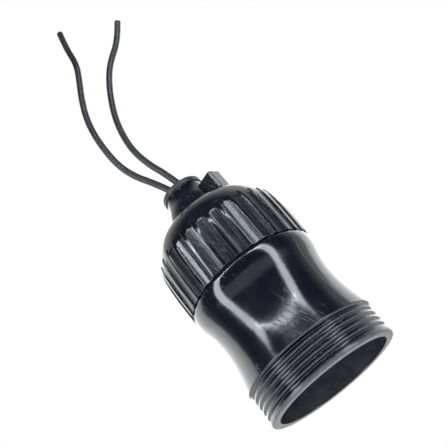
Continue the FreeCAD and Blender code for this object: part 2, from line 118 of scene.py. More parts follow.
# %% Lead routes, in millimetres
LEAD_DIAMETER = 2.5 * MM
LEAD_X = 1.7
LEAD_CURVE_ORDER = 3
POINTS_PER_STRETCH = 10
SEAL_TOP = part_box("lead_seal")[1].z / MM

LONG_ROUTE = [
    (-LEAD_X, 0.0, SEAL_TOP), (-3.4, -0.2, 88.2), (-6.6, -0.6, 94.7), (-9.8, -1.0, 100.6),
    (-11.9, -1.5, 107.9), (-12.4, -1.9, 116.4), (-12.0, -2.0, 125.6), (-10.4, -1.8, 134.3),
    (-7.4, -1.4, 142.8), (-4.4, -1.0, 149.4), (-0.7, -0.4, 158.2), (0.0, 0.1, 168.2), (1.8, 0.4, 177.3),
]
SHORT_ROUTE = [
    (LEAD_X, 0.0, SEAL_TOP), (0.8, 0.1, 87.8), (-0.8, 0.4, 94.5), (-3.0, 0.7, 101.4),
    (-4.5, 1.1, 110.2), (-3.9, 1.5, 119.6), (-1.9, 1.9, 128.6), (1.7, 2.2, 137.6),
    (5.8, 2.3, 145.2), (10.2, 2.3, 150.8), (18.0, 1.9, 156.6), (22.8, 1.4, 163.7),
]
print("routes of", len(LONG_ROUTE), "and", len(SHORT_ROUTE), "points")


# %% A lead as a bevelled curve
def make_lead(name, node, route):
    """One open NURBS spline of order 3 led by the route. Its round section is one metre times the
    radius at each point, so that Blender's box round the curve is as tight as the lead."""
    curve = bpy.data.curves.new(name, "CURVE")
    curve.dimensions = "3D"
    spline = curve.splines.new("NURBS")
    spline.points.add(len(route) - 1)
    for point, place in zip(spline.points, route):
        point.co = (place[0] * MM, place[1] * MM, place[2] * MM, 1.0)
        point.radius = LEAD_DIAMETER / 2
    spline.order_u = LEAD_CURVE_ORDER
    spline.use_endpoint_u = True
    spline.resolution_u = POINTS_PER_STRETCH
    curve.bevel_depth = 1.0
    curve.bevel_resolution = 7
    curve.use_fill_caps = True
    lead = bpy.data.objects.new(name, curve)
    scene.collection.objects.link(lead)
    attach(lead, "cap_and_insert")
    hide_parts(node)
    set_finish(lead, "lead_sheath")
    return lead


def line_of(lead):
    """Points along a lead's centre line, read from its own spline with the bevel taken off."""
    bare = lead.data.copy()
    bare.bevel_depth = 0.0
    carrier = bpy.data.objects.new("bare_line", bare)
    mesh = bpy.data.meshes.new_from_object(carrier)
    places = np.zeros(len(mesh.vertices) * 3)
    mesh.vertices.foreach_get("co", places)
    bpy.data.objects.remove(carrier)
    return places.reshape(-1, 3)


neutral_lead = make_lead("neutral_lead_sheath", "neutral_lead", LONG_ROUTE)
live_lead = make_lead("live_lead_sheath", "live_lead", SHORT_ROUTE)
for lead in (neutral_lead, live_lead):
    steps = np.diff(line_of(lead), axis=0)
    float(np.linalg.norm(steps, axis=1).sum())

# %% [markdown]
# ## Surfaces from arrays
# Most of the holder is turned about one upright axis. Such a form is a profile, a list of radii and
# heights, carried round a list of angles. The points are worked out as one array with a row for each
# profile point and a column for each angle, and neighbours are joined into four-sided faces. Where a
# rib or a thread stands on the wall, the radius simply becomes a function of angle and height.

# %% Grid of points to mesh
def joined_mesh(name, grids):
    """Faces between neighbours of each grid. Columns close on themselves, and rows do where asked.
    A row marked as an end is filled with a fan of triangles to its middle."""
    points, faces, start = [], [], 0
    for grid, closed, fill_first, fill_last in grids:
        rows, columns = grid.shape[:2]
        number = start + np.arange(rows * columns).reshape(rows, columns)
        if closed:
            number = np.vstack([number, number[:1]])
        right = np.roll(number, -1, axis=1)
        quads = np.stack([number[:-1], right[:-1], right[1:], number[1:]], axis=-1)
        faces += quads.reshape(-1, 4).tolist()
        points.append(grid.reshape(-1, 3))
        start += rows * columns
        for wanted, row, order in ((fill_first, 0, -1), (fill_last, rows - 1, 1)):
            if wanted:
                ring = number[row]
                fan = np.stack([ring, np.roll(ring, -1), np.full(columns, start)], axis=-1)
                faces += fan[:, ::order].tolist()
                points.append(grid[row].mean(axis=0, keepdims=True))
                start += 1
    mesh = bpy.data.meshes.new(name)
    mesh.from_pydata((np.vstack(points) * MM).tolist(), [], faces)
    mesh.polygons.foreach_set("use_smooth", np.ones(len(mesh.polygons), bool))
    mesh.update()
    return mesh


def add_piece(name, grids, body, slot, nodes=()):
    """Puts the mesh in the scene, on the body that carries it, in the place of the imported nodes."""
    piece = bpy.data.objects.new(name, joined_mesh(name, grids))
    scene.collection.objects.link(piece)
    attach(piece, body)
    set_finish(piece, slot)
    if nodes:
        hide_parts(*nodes)
    print(name, "has", len(piece.data.polygons), "faces")
    return piece


# %% Profiles with rounded corners, and smooth profiles
def rounded(corners, radii, closed=False, steps=4):
    """Profile through corners, each turned into a curve that leaves one run and meets the next at the
    same distance from the corner; a point a little further out on each run keeps the runs flat."""
    corners = np.array(corners, float)
    line = []
    last = len(corners) - 1
    for n, (corner, radius) in enumerate(zip(corners, radii)):
        if radius == 0 or (not closed and n in (0, last)):
            line.append(corner)
            continue
        before = corners[n - 1] - corner
        after = corners[(n + 1) % len(corners)] - corner
        before_long, after_long = np.linalg.norm(before), np.linalg.norm(after)
        cut = min(radius, 0.45 * before_long, 0.45 * after_long)
        one, two = corner + before / before_long * cut, corner + after / after_long * cut
        share = np.linspace(0, 1, steps + 1)[:, None]
        arc = (1 - share) ** 2 * one + 2 * share * (1 - share) * corner + share ** 2 * two
        line += [one + 0.2 * (one - corner)] + list(arc) + [two + 0.2 * (two - corner)]
    return np.array(line)


def smooth_line(points, count):
    """Natural cubic spline through the points, by distance along them: the second slopes solve one
    set of linear equations, and each stretch is then a cubic between its two ends."""
    points = np.array(points, float)
    knots = np.concatenate([[0], np.cumsum(np.linalg.norm(np.diff(points, axis=0), axis=1))])
    gap = np.diff(knots)[:, None]
    size = len(points)
    matrix, wanted = np.eye(size), np.zeros_like(points)
    inner = np.arange(1, size - 1)
    matrix[inner, inner - 1] = gap[:-1, 0]
    matrix[inner, inner] = 2 * (gap[:-1, 0] + gap[1:, 0])
    matrix[inner, inner + 1] = gap[1:, 0]
    wanted[1:-1] = 6 * ((points[2:] - points[1:-1]) / gap[1:] - (points[1:-1] - points[:-2]) / gap[:-1])
    bend = np.linalg.solve(matrix, wanted)
    at = np.linspace(0, knots[-1], count)
    n = np.clip(np.searchsorted(knots, at, side="right") - 1, 0, size - 2)
    width, a, b = gap[n], (knots[n + 1] - at)[:, None], (at - knots[n])[:, None]
    curved = (bend[n] * a ** 3 + bend[n + 1] * b ** 3) / (6 * width)
    before = (points[n] / width - bend[n] * width / 6) * a
    after = (points[n + 1] / width - bend[n + 1] * width / 6) * b
    return curved + before + after


def around(radius, height, turns):
    """A radius and a height for each angle, as points: radius times cosine, radius times sine, height."""
    return np.stack([radius * np.cos(turns), radius * np.sin(turns), height + 0 * radius * turns], axis=-1)


def spun(profile, turns):
    """Each profile point (radius, height) turned about the upright axis."""
    return around(profile[:, 0:1], profile[:, 1:2], turns)


def ease(share):
    """Smooth step: 0 below 0, 1 above 1, and 3s^2 - 2s^3 between."""
    share = np.clip(share, 0, 1)
    return share * share * (3 - 2 * share)


def full_turn(count):
    """Equal angles round a full turn."""
    return np.arange(count) * 2 * np.pi / count


print("surface helpers ready")

# %% [markdown]
# ## The shell
# The shell is moulded in glossy black thermosetting resin. It narrows to a waist, swells to a shoulder
# under the seam, and carries a coarse right-hand thread above a rolled lip. One surface makes all of
# it: the profile goes up the outside and down the bore, and the thread is added to the radius as a
# function of angle and height. A thread made as a separate spring would leave a seam at its foot.

# %% Heights and radii of the shell, in millimetres
shell_high = np.array(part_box("shell")[1]) / MM
BODY_R = shell_high[0]
SHOULDER_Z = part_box("joint_gasket")[0].z / MM
SEAM_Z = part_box("joint_gasket")[1].z / MM
SPIGOT_R = BODY_R - 2.58
BARREL_BORE_R = BODY_R - 5.1
MOUTH_BORE_R = BODY_R - 3.2
LIP_R = BODY_R - 0.45
LIP_TOP = 1.6
THREAD_ROOT_R = BODY_R - 1.25
THREAD_DEPTH = 0.7
THREAD_PITCH = 2.0
THREAD_FROM_Z = 0.96
THREAD_TURN = math.radians(-167)
THREAD_TURNS = 5.15
BAND_FROM_Z = 1.05
BAND_ROW = 0.105
FLARE_Z = 11.4
FLARE_DROP = 1.1
FLARE_TALL = 1.3
BORE_WIDENS_Z = 10.0
BARREL_FROM_Z = 15.0
GROOVE_DEPTH = 0.45
GROOVE_TURNS = 3.2
GROOVE_ROW = 0.14
MOULD_LINES = (math.radians(-39), math.radians(-39) + np.pi)
SIDE = [(BODY_R, FLARE_Z), (BODY_R - 1.2, 17.0), (BODY_R - 2.2, 25.6), (BODY_R - 1.45, 33.7),
        (BODY_R - 0.5, SHOULDER_Z - 3.7), (BODY_R - 0.3, SHOULDER_Z - 1.4), (BODY_R - 0.42, SHOULDER_Z - 0.1)]
print("shell radius", round(BODY_R, 2), "and shoulder at", round(SHOULDER_Z, 2))


# %% Thread and mould line
def thread_height(turns, height, start_z, start_turn, count, pitch, depth, crown=0.02, foot=0.46):
    """How far a thread stands out: the nearest coil is the rounded number of pitches above the start
    helix, and the ridge falls off smoothly from its crown to its foot, in pitches from that coil.
    It also rises from nothing over the first and the last sixth of a turn."""
    share = np.mod(turns - start_turn, 2 * np.pi) / (2 * np.pi)
    pitches = (height - start_z) / pitch - share
    coil = np.round(pitches)
    ridge = ease((foot - np.abs(pitches - coil)) / (foot - crown))
    along = coil + share
    return depth * ridge * ease(6 * along) * ease(6 * (count - along))


def mould_line(turns, radius, place, width=0.09, stand=0.05):
    """Fine raised line where the halves of the mould meet: a bell curve of the distance round the wall."""
    away = radius * np.abs(np.angle(np.exp(1j * (turns - place))))
    return stand * np.exp(-(away / width) ** 2)


def with_close_angles(count, places, reach):
    """Equal angles with a few more set close together at each place, for a feature finer than a step."""
    close = np.array([-3.0, -1.6, -1.0, -0.6, -0.3, 0.0, 0.3, 0.6, 1.0, 1.6, 3.0]) * reach
    extra = np.mod((np.array(places)[:, None] + close).ravel(), 2 * np.pi)
    return np.unique(np.round(np.concatenate([full_turn(count), extra]), 5))


print("thread and mould line ready")


# %% Shell surface
def shell_grid():
    """Closed profile: lip, threaded band, flare, waisted side, spigot with a shallow groove, and bore."""
    turns = with_close_angles(220, MOULD_LINES, 0.11 / BODY_R)
    lip = rounded([(MOUTH_BORE_R, 0.9), (MOUTH_BORE_R, 0.0), (LIP_R, 0.0), (LIP_R, LIP_TOP)],
                  [0, 0.3, 0.9, 0], steps=6)[:-1]
    band_z = np.arange(BAND_FROM_Z, FLARE_Z + 0.5, BAND_ROW)
    side = smooth_line(SIDE, 48)
    side_z = np.concatenate([band_z, side[side[:, 1] > band_z[-1] + 0.1, 1]])[:, None]
    flare = THREAD_ROOT_R + (BODY_R - THREAD_ROOT_R) * ease((side_z - FLARE_Z + FLARE_DROP) / FLARE_TALL)
    wall = np.minimum(flare, np.interp(side_z, side[:, 1], side[:, 0]))
    lip_wall = LIP_R - (LIP_R - THREAD_ROOT_R) * ease((side_z - LIP_TOP + 0.25) / 0.4)
    wall = np.maximum(wall, np.where(side_z < 3, lip_wall, 0))
    ridge = thread_height(turns, side_z, THREAD_FROM_Z, THREAD_TURN, THREAD_TURNS, THREAD_PITCH,
                          THREAD_DEPTH)
    wall = np.where(side_z < FLARE_Z + 0.3, np.maximum(wall, THREAD_ROOT_R + ridge), wall)
    for place in MOULD_LINES:
        wall = wall + mould_line(turns, BODY_R, place) * ease((side_z - FLARE_Z) / 0.6)
    spigot_top = shell_high[2]
    spigot_z = np.arange(SHOULDER_Z + 0.1, spigot_top - 0.3, GROOVE_ROW)[:, None]
    groove = thread_height(turns, spigot_z, SHOULDER_Z + 0.3, 0.0, GROOVE_TURNS, THREAD_PITCH, GROOVE_DEPTH)
    shoulder = rounded([(BODY_R - 0.47, SHOULDER_Z - 0.06), (BODY_R - 0.6, SHOULDER_Z),
                        (SPIGOT_R, SHOULDER_Z)], [0, 0.05, 0])[1:]
    bore = rounded([(SPIGOT_R, spigot_top - 0.3), (SPIGOT_R, spigot_top), (BARREL_BORE_R, spigot_top),
                    (BARREL_BORE_R, BARREL_FROM_Z), (MOUTH_BORE_R, BORE_WIDENS_Z), (MOUTH_BORE_R, 1.4)],
                   [0, 0.25, 0.4, 1.2, 1.2, 0])[1:]
    return np.vstack([spun(lip, turns), around(wall, side_z, turns), spun(shoulder, turns),
                      around(SPIGOT_R - groove, spigot_z, turns), spun(bore, turns)])


shell = add_piece("mouth_shell_moulding", [(shell_grid(), True, False, False)],
                  "mouth_shell", "black_moulding", ["shell"])

# %% [markdown]
# ## The cap
# The cap is a dome whose lower wall is cut into thirty flats, with a narrow upright rib on each edge
# between two flats, so that a wet hand can grip it. The flats break into the round dome along crisp
# straight edges. The radius at any angle and height is the smaller of dome and flat, and the rib is
# laid over it. The angles are set close together at a rib's corners and far apart on the flats.

# %% Heights and radii of the cap, in millimetres
cap_high = np.array(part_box("cap")[1]) / MM
DOME_TOP_Z = cap_high[2] - 11.7
FLAT_R = BODY_R - 0.5
RIB_COUNT = 30
RIB_FROM = math.radians(-1.4)
RIB_HALF = 0.82
RIB_CREST_HALF = 0.56
FLAT_HALF = 1.65
FLAT_HOLLOW = 0.12
JOIN_SOFTNESS = 0.0016
CAP_ROOF_Z = DOME_TOP_Z - 3
RIB_END_Z = SEAM_Z + 19.6
CAP_BORE_R = FLAT_R - 2.0
NECK_R = 7.3
NECK_BORE_R = 4.8
NECK_FLARE = [(12.0, DOME_TOP_Z), (10.8, DOME_TOP_Z + 2.6), (9.8, DOME_TOP_Z + 5.2), (8.8, DOME_TOP_Z + 7.2),
              (8.0, DOME_TOP_Z + 8.9), (7.55, DOME_TOP_Z + 10.3), (NECK_R, DOME_TOP_Z + 11.4)]
DOME = [(BODY_R, SEAM_Z + 15.1), (BODY_R - 0.5, SEAM_Z + 17.3), (BODY_R - 1.45, SEAM_Z + 20.0),
        (BODY_R - 3.0, SEAM_Z + 23.0), (BODY_R - 5.6, SEAM_Z + 26.0), (12.0, DOME_TOP_Z)]
RIB_CREST = [(BODY_R, SEAM_Z), (BODY_R + 0.2, SEAM_Z + 10.4), (BODY_R + 0.08, SEAM_Z + 14.0),
             (BODY_R - 0.3, SEAM_Z + 17.3), (BODY_R - 0.95, RIB_END_Z)]
print("dome top at", round(DOME_TOP_Z, 2), "and ribs end at", round(RIB_END_Z, 2))


# %% Wall of the cap with its flats and ribs
def rib_angles():
    """Angles of one twelve-degree step, close together at the rib's corners, repeated round the cap."""
    half = np.array([0.0, 0.3, 0.56, 0.66, 0.73, 0.78, 0.81, 0.83, 0.87, 0.95, 1.2, 1.7, 2.2])
    offsets = np.concatenate([-half[:0:-1], half]) / BODY_R
    offsets = np.append(offsets, math.pi / RIB_COUNT)
    steps = RIB_FROM + np.arange(RIB_COUNT)[:, None] * 2 * np.pi / RIB_COUNT
    return np.sort(np.mod((steps + offsets).ravel(), 2 * np.pi))


def quarter(share):
    """Height of a quarter circle: 1 at share 0, and down steeply to 0 at share 1."""
    return np.sqrt(1 - np.clip(share, 0, 1) ** 2)


def cap_wall(turns, height, dome):
    """Radius of the cap's wall: the smaller of dome and flat, with the rib's crest laid over it where
    the distance from the rib's middle is under half its width. Dome and flat meet in a join that is a
    hair's breadth soft, and the crest's edges are round."""
    step = 2 * np.pi / RIB_COUNT
    from_rib = np.mod(turns - RIB_FROM + step / 2, step) - step / 2
    from_flat = np.abs(from_rib) - step / 2
    hollow = FLAT_HOLLOW * np.clip(1 - (from_flat * BODY_R / FLAT_HALF) ** 2, 0, 1)
    flat = FLAT_R / np.cos(from_flat) - hollow + 0 * height
    round_dome = np.interp(height, dome[:, 1], dome[:, 0], left=BODY_R) + 0 * turns
    base = 0.5 * (flat + round_dome - np.sqrt((flat - round_dome) ** 2 + JOIN_SOFTNESS))
    crest_line = smooth_line(RIB_CREST, 60)
    crest = np.interp(height, crest_line[:, 1], crest_line[:, 0])
    across = quarter((np.abs(from_rib) * BODY_R - RIB_CREST_HALF) / (RIB_HALF - RIB_CREST_HALF))
    ends = quarter((height - RIB_END_Z + 0.3) / 0.3) * ease((height - SEAM_Z - 0.02) / 0.12)
    return np.maximum(base, base + (crest - base) * across * ends)


def cap_grid():
    """Closed profile: rim, ribbed wall, dome, flared neck, bore and inside."""
    turns = rib_angles()
    dome = smooth_line(DOME, 80)
    rib_end = RIB_END_Z + np.array([-0.9, -0.4, -0.3, -0.2, -0.12, -0.06, -0.02, 0.0, 0.06, 0.2])
    straight = SEAM_Z + np.array([0.13, 0.3, 2, 4, 6, 8, 10, 12, 13.5, 14.5, 15.2])
    height = np.concatenate([straight, np.arange(SEAM_Z + 15.6, RIB_END_Z - 1, 0.14), rib_end])[:, None]
    radius = cap_wall(turns, height, dome)
    rim = [around(radius[:1] - inset, SEAM_Z + rise, turns)
           for inset, rise in ((0.6, 0), (0.12, 0), (0.04, 0.04))]
    upper = dome[dome[:, 1] > RIB_END_Z + 0.35][::2]
    foot = smooth_line(NECK_FLARE, 14)[1:]
    neck = rounded([foot[-1], (NECK_R, cap_high[2]), (NECK_BORE_R, cap_high[2]),
                    (NECK_BORE_R, CAP_ROOF_Z), (11.0, CAP_ROOF_Z), (CAP_BORE_R - 3.4, SEAM_Z + 19.6),
                    (CAP_BORE_R, SEAM_Z + 11), (CAP_BORE_R, SEAM_Z)], [0, 0.25, 0.15, 0.3, 0, 0, 0, 0.1])
    return np.vstack(rim + [around(radius, height, turns), spun(upper, turns), spun(foot[:-1], turns),
                            spun(neck, turns)])


print("cap wall ready, with", RIB_COUNT, "ribs")

# %% [markdown]
# The lug is a square block on one side of the neck, perhaps for a hanging clamp. It is a stack of
# outlines: each row of the grid is the same rounded outline, drawn in a little at the top edge and let
# out a little where the lug meets the dome.

# %% Lug
LUG_TURN = math.radians(-31)
LUG_REACH = 15.2
LUG_HALF = 3.0
LUG_TOP_Z = DOME_TOP_Z + 7.7
LUG_CUT = (0.6, 0.86)
LUG_EDGE = 0.45
LUG_INNER = 3.0
FILLET_OUT = 0.7
FILLET_TALL = 0.9
FOOT_ROWS = (-4, -2.4, -1.8, -1.4, -1.1, -0.8, -0.5, -0.2, 0.1, 0.4, 0.7, 1.0, 1.6, 3.5, 5.5)


def lug_grid():
    """Rows of one outline from inside the dome to the top. Near the dome's surface a row is let out by
    a square law, for the moulded fillet, and at the top it is drawn in along a quarter circle."""
    along, across = LUG_CUT
    outline = rounded([(LUG_INNER, -LUG_HALF), (LUG_REACH - along, -LUG_HALF),
                       (LUG_REACH, across - LUG_HALF), (LUG_REACH, LUG_HALF - across),
                       (LUG_REACH - along, LUG_HALF), (LUG_INNER, LUG_HALF)],
                      [0.4, 0.12, 0.12, 0.12, 0.12, 0.4], closed=True)
    middle = np.array([(LUG_REACH + LUG_INNER) / 2, 0.0])
    out = np.sign(outline - middle) * (np.abs(outline - middle) > [LUG_REACH / 2 - 2.4, LUG_HALF - 1])
    fine = DOME_TOP_Z + np.array(FOOT_ROWS)
    bend = np.linspace(0, np.pi / 2, 6)
    rows_z = np.concatenate([fine, [LUG_TOP_Z - LUG_EDGE - 0.3], LUG_TOP_Z - LUG_EDGE * (1 - np.sin(bend))])
    inset = np.concatenate([np.zeros(len(fine) + 1), LUG_EDGE * (1 - np.cos(bend))])
    rows_z, inset = np.append(rows_z, LUG_TOP_Z), np.append(inset, LUG_EDGE + 0.3)
    dome = smooth_line(DOME, 80)
    reach = np.hypot(outline[:, 0], outline[:, 1])
    dome_z = np.interp(reach, dome[::-1, 0], dome[::-1, 1])
    above = rows_z[:, None] - dome_z
    let_out = FILLET_OUT * np.clip(1 - above / FILLET_TALL, 0, 1) ** 2
    flat = outline + out * (let_out - inset[:, None])[..., None]
    x = flat[..., 0] * math.cos(LUG_TURN) - flat[..., 1] * math.sin(LUG_TURN)
    y = flat[..., 0] * math.sin(LUG_TURN) + flat[..., 1] * math.cos(LUG_TURN)
    return np.stack([x, y, rows_z[:, None] + 0 * x], axis=-1)


cap = add_piece("ribbed_cap_moulding", [(cap_grid(), True, False, False), (lug_grid(), False, True, True)],
                "cap_and_insert", "black_moulding", ["cap"])


# %% Mark the flats, and the bore, lip and thread crests on which the shell's finish paints light
def mark_points(piece, name, share_of):
    """Stores a value from 0 to 1 on each point, worked out from its place in millimetres."""
    places = np.zeros(len(piece.data.vertices) * 3)
    piece.data.vertices.foreach_get("co", places)
    share = share_of(*(places.reshape(-1, 3).T / MM))
    mark = piece.data.attributes.new(name, "FLOAT", "POINT")
    mark.data.foreach_set("value", share.astype(np.float32))
    print(name, "on", int((share > 0.5).sum()), "points")


def flat_share(x, y, z):
    """1 past a rib's edge and under the dome, else 0."""
    step = 2 * np.pi / RIB_COUNT
    from_rib = np.abs(np.mod(np.arctan2(y, x) - RIB_FROM + step / 2, step) - step / 2) * BODY_R
    on_wall = np.hypot(x, y) > FLAT_R - 0.4
    return ease((from_rib - RIB_HALF) / 0.12) * ease((SEAM_Z + 17.4 - z) / 0.5) * on_wall


def bore_share(x, y, z):
    """1 on the bore's wall, from just inside the lip, else 0: where light is painted on the bore."""
    return ease((MOUTH_BORE_R + 0.05 - np.hypot(x, y)) / 0.1 + 0.6) * ease((z - 0.1) / 0.5)


def lip_crest_highlight_share(x, y, z):
    """1 on the lip and, less, on the thread's crests, else 0: where a grey highlight is painted."""
    radius = np.hypot(x, y)
    outside = ease((radius - MOUTH_BORE_R - 0.15) / 0.3)
    lip = ease((0.85 * LIP_TOP - z) / 0.4)
    crest = 0.35 * ease((radius - THREAD_ROOT_R - 0.5) / 0.15) * ease((FLARE_Z - 1.2 - z) / 0.3)
    return outside * np.maximum(lip, crest)


mark_points(cap, "on_flat", flat_share)
# The bore mark and the lip and crest mark carry the shell's painted light.
mark_points(shell, "in_bore", bore_share)
mark_points(shell, "wear_and_highlight", lip_crest_highlight_share)

# %% [markdown]
# ## Seal, gasket and contact parts
# A soft rubber plug closes the neck round the two leads, and a flat rubber ring closes the seam. Down
# in the mouth are the parts that hold a lamp: a thin metal sleeve with a rolled thread, and a sprung
# centre contact. Each is turned, with its own finer shape added to the radius or the height.

# %% Lead seal
COLLAR_TALL = 0.35
COLLAR_WIDE = 0.35


def seal_grid():
    """Flange with soft edges on a tapered plug. The top rises in a small collar round each lead: the
    height grows as a bell curve of the distance from the lead's edge."""
    low, high = [np.array(corner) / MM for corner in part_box("lead_seal")]
    flange_z, r = cap_high[2], high[0]
    edge = rounded([(0.3, low[2]), (4.5, low[2]), (4.7, flange_z - 0.3), (4.7, flange_z), (r, flange_z),
                    (r, high[2]), (r - 1.2, high[2])], [0, 0.5, 0, 0, 0.45, 0.6, 0])
    top_r = np.linspace(r - 1.4, 0.15, 34)
    top = np.stack([top_r, np.full(34, high[2])], axis=-1)
    grid = spun(np.vstack([edge, top]), full_turn(120))
    on_top = (grid[..., 2] > high[2] - 0.001) & (np.hypot(grid[..., 0], grid[..., 1]) < r - 0.9)
    for side in (-1, 1):
        away = np.hypot(grid[..., 0] - side * LEAD_X, grid[..., 1]) - LEAD_DIAMETER / MM / 2
        grid[..., 2] += on_top * COLLAR_TALL * np.exp(-(np.clip(away, 0, None) / COLLAR_WIDE) ** 2)
    return grid


seal = add_piece("lead_seal_plug", [(seal_grid(), False, True, True)], "cap_and_insert", "black_rubber",
                 ["lead_seal"])


# %% Seam gasket
def gasket_grid():
    """Ring of rubber, pressed so that its outer edge bulges in a half round."""
    low, high = [np.array(corner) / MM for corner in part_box("joint_gasket")]
    inner, outer, thick = SPIGOT_R + 0.1, high[0], high[2] - low[2]
    turn = np.linspace(-np.pi / 2, np.pi / 2, 7)
    bulge = np.stack([outer - thick / 2 + thick / 2 * np.cos(turn),
                      SHOULDER_Z + thick / 2 * (1 + np.sin(turn))], axis=-1)
    inside = np.array([(inner, high[2] - 0.02), (inner, low[2] + 0.02)])
    return spun(np.vstack([bulge, inside]), full_turn(160))


gasket = add_piece("seam_gasket", [(gasket_grid(), True, False, False)], "gasket_ring", "gasket_rubber",
                   ["joint_gasket"])


# %% Screw shell with its rolled thread
SLEEVE_R = 13.8
SHEET = 0.4
ROLLED_PITCH = 3.63
ROLLED_DEPTH = 1.05
FLANGE_BORE_R = 11.0


def screw_shell_grid():
    """Both faces of a thin sleeve. The rolled thread draws the wall in by one raised cosine a pitch
    along the helix, so the same wave shows inside and out."""
    low, high = [np.array(corner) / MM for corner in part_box("screw_shell")]
    turns = full_turn(132)
    height = np.arange(low[2] + 0.5, high[2] - 0.6, 0.2)[:, None]
    wave = 0.5 - 0.5 * np.cos(2 * np.pi * (height - low[2]) / ROLLED_PITCH - turns)
    fade = ease((height - low[2] - 0.6) / 1.5) * ease((high[2] - 0.9 - height) / 1.5)
    outer = SLEEVE_R - ROLLED_DEPTH * wave * fade
    rim = np.array([(SLEEVE_R - SHEET, low[2] + 0.15), (SLEEVE_R - 0.1, low[2]), (high[0] - 0.15, low[2]),
                    (high[0], low[2] + 0.1), (high[0], low[2] + SHEET), (SLEEVE_R + 0.2, low[2] + SHEET)])
    flange = np.array([(SLEEVE_R, high[2] - 0.3), (SLEEVE_R - 0.3, high[2]), (FLANGE_BORE_R, high[2]),
                       (FLANGE_BORE_R, high[2] - SHEET), (SLEEVE_R - SHEET - 0.2, high[2] - SHEET),
                       (SLEEVE_R - SHEET, high[2] - SHEET - 0.2)])
    return np.vstack([spun(rim, turns), around(outer, height, turns), spun(flange, turns),
                      around((outer - SHEET)[::-1], height[::-1], turns)])


screw_shell = add_piece("rolled_screw_shell", [(screw_shell_grid(), True, False, False)],
                        "cap_and_insert", "nickelled_brass", ["screw_shell"])


# %% Centre contact button
DOME_RISE = 0.35


def button_grid():
    """Domed disc: the face is a shallow cap of a sphere, the rim is rounded and the back is flat."""
    low, high = [np.array(corner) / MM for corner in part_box("contact_button")]
    r = high[0]
    face_r = np.linspace(0.1, r - 0.35, 12)
    face = np.stack([face_r, low[2] + DOME_RISE * (face_r / r) ** 2], axis=-1)
    rim = rounded([face[-1], (r, low[2] + 0.45), (r, high[2]), (0.1, high[2])], [0, 0.3, 0.2, 0])[1:]
    return spun(np.vstack([face, rim]), full_turn(72))


button = add_piece("centre_contact_face", [(button_grid(), False, True, True)], "centre_contact",
                   "nickelled_brass", ["contact_button"])

# %% [markdown]
# The centre contact is sprung. A coil spring stays in the insert and is pressed flatter as the contact
# goes in. It is a round wire carried along a helix.

# %% Contact spring
SPRING_WIRE_R = 0.3
SPRING_TURNS = 4.2


def spring_grid():
    """Round wire along a helix whose pitch closes up at both ends, so that the end turns lie flat."""
    low, high = [np.array(corner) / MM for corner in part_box("contact_spring")]
    coil_r = high[0] - SPRING_WIRE_R
    share = np.linspace(0, 1, 150)
    rise = ease((share - 0.12) / 0.76) * 0.82 + 0.18 * share
    z = low[2] + SPRING_WIRE_R + (high[2] - low[2] - 2 * SPRING_WIRE_R) * rise
    turn = 2 * np.pi * SPRING_TURNS * share
    middle = around(coil_r, z, turn)
    outward = around(1.0, 0 * turn, turn)
    section = full_turn(12)[::-1][None, :, None]
    upward = np.array([0.0, 0.0, 1.0])
    wire = np.cos(section) * outward[:, None] + np.sin(section) * upward
    return middle[:, None] + SPRING_WIRE_R * wire


spring = add_piece("contact_spring_coil", [(spring_grid(), False, True, True)], "cap_and_insert",
                   "spring_steel", ["contact_spring"])
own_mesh(spring)

# %% [markdown]
# The cut end of a lead shows its core: a bundle of fine copper wires, cut flush and a little bright.
# The wires sit in rings of one, six and twelve, as a stranded core does.

# %% Copper cores at the cut ends
STRAND_R = 0.095
STRAND_APART = 2.05 * STRAND_R
STRAND_ROWS = ((-0.6, STRAND_R), (0.10, STRAND_R), (0.14, 0.7 * STRAND_R))


def core_grids(lead):
    """Nineteen short wires along the lead's last direction, each a small capped tube."""
    line = line_of(lead) / MM
    tip, along = line[-1], line[-1] - line[-2]
    along /= np.linalg.norm(along)
    side = np.cross(along, (0.0, 1.0, 0.0))
    side /= np.linalg.norm(side)
    other = np.cross(along, side)
    turns = full_turn(10)[:, None]
    section = np.cos(turns) * side + np.sin(turns) * other
    grids = []
    for ring, count in enumerate((1, 6, 12)):
        for turn in full_turn(count):
            centre = tip + STRAND_APART * ring * (math.cos(turn) * side + math.sin(turn) * other)
            grid = np.stack([centre + far * along + radius * section for far, radius in STRAND_ROWS])
            grids.append((grid, False, True, True))
    return grids


cores = [add_piece(lead.name.replace("sheath", "core"), core_grids(lead), "cap_and_insert", "bare_brass")
         for lead in (neutral_lead, live_lead)]

# %% Print which pieces are cords, and where they leave the seal
for lead, core, x in ((neutral_lead, cores[0], -LEAD_X), (live_lead, cores[1], LEAD_X)):
    print(lead.name, "is a cord that leaves the seal at x =", x, "mm")

# %% [markdown]
# ## Finishes
# Every finish starts from the same small parts: object coordinates, so that a pattern stays on its
# piece, a noise that varies colour or gloss, and a bump that gives the surface its last fine unevenness.
# Most helpers add one node and return its output, so that a finish reads from top to bottom.

